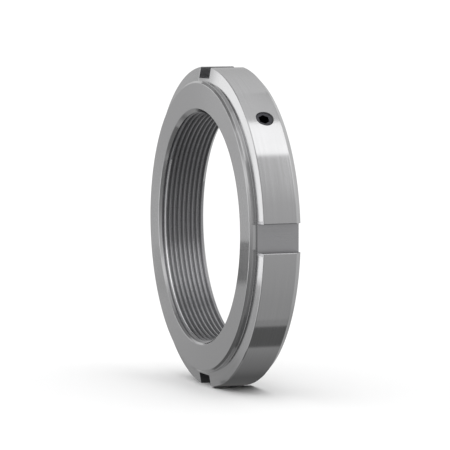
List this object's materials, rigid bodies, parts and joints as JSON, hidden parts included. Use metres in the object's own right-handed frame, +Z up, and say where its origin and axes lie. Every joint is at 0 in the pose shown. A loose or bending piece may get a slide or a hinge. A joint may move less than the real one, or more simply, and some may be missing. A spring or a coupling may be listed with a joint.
{
  "type": "bearing lock nut",
  "caption": "Round slotted lock nut for a bearing on a threaded shaft, with a raised contact boss, spanner slots and a radial grub screw over a locking insert.",
  "frame": {"origin": "centre of the threaded bore, half way between the two faces", "axes": "+X along the bore axis, from the raised contact boss to the plain back face; +Z up, with one spanner slot at the top and one at the bottom; the grub screw points half way between -Y and +Z"},
  "size_m": [0.02, 0.1294, 0.1294],
  "materials": {
    "turned_steel": "turned and milled",
    "black_oxide_steel": "black oxide",
    "brass": "turned"
  },
  "bodies": {
    "nut": {"nut_body": "turned_steel"},
    "insert": {"locking_insert": "brass"},
    "screw": {"grub_screw": "black_oxide_steel"}
  },
  "joints": [
    {"name": "insert_slide", "type": "slide", "parent": "nut", "child": "insert", "axis": [0, 0.7071, -0.7071], "range_m": [0, 0.001]},
    {"name": "screw_turn", "type": "hinge", "parent": "insert", "child": "screw", "pos_m": [0.001, -0.04243, 0.04243], "axis": [0, 0.7071, -0.7071], "range_deg": [0, 288]}
  ],
  "couplings": [
    {"joint": "screw_turn", "follows": "insert_slide", "rad_per_m": 5026.5}
  ]
}
